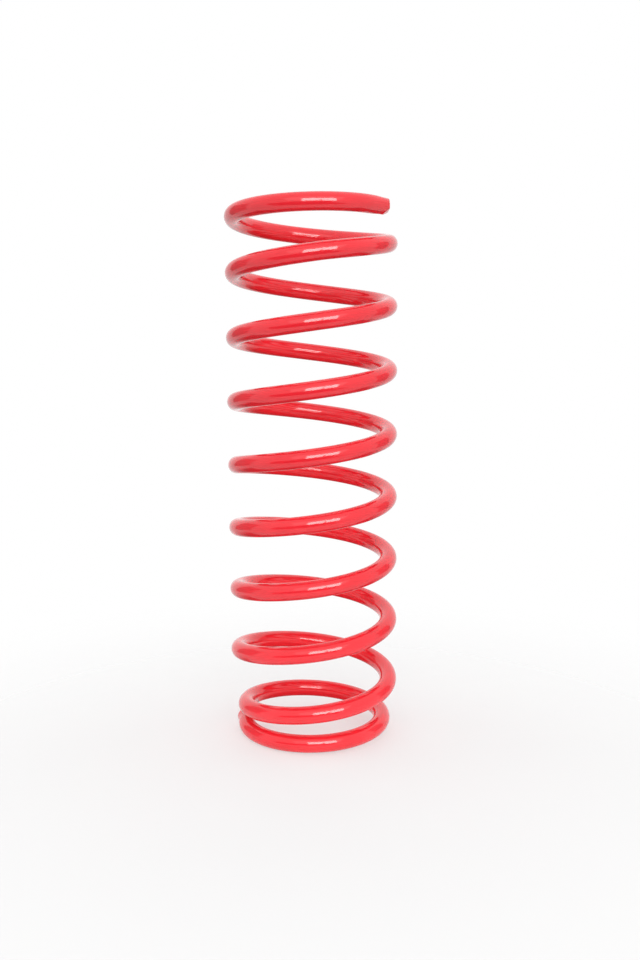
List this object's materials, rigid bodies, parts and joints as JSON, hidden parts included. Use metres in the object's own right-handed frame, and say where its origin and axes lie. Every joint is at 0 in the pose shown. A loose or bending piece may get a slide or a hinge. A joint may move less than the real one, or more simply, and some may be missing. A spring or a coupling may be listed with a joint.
{
  "type": "suspension coil spring",
  "caption": "Red coated compression coil spring of round steel wire for a vehicle suspension, with a narrower closed seat turn at its lower end.",
  "frame": {"origin": "on the coil axis, level with the lowest point of the wire", "axes": "+Z along the coil axis from the narrow seat turn to the upper end, -Y towards the viewer of the picture, +X to the viewer's right"},
  "size_m": [0.1076, 0.1076, 0.3394],
  "materials": {
    "red_coating": "glossy powder coat over steel wire"
  },
  "bodies": {
    "root": {"coil_spring": "red_coating"}
  },
  "joints": []
}
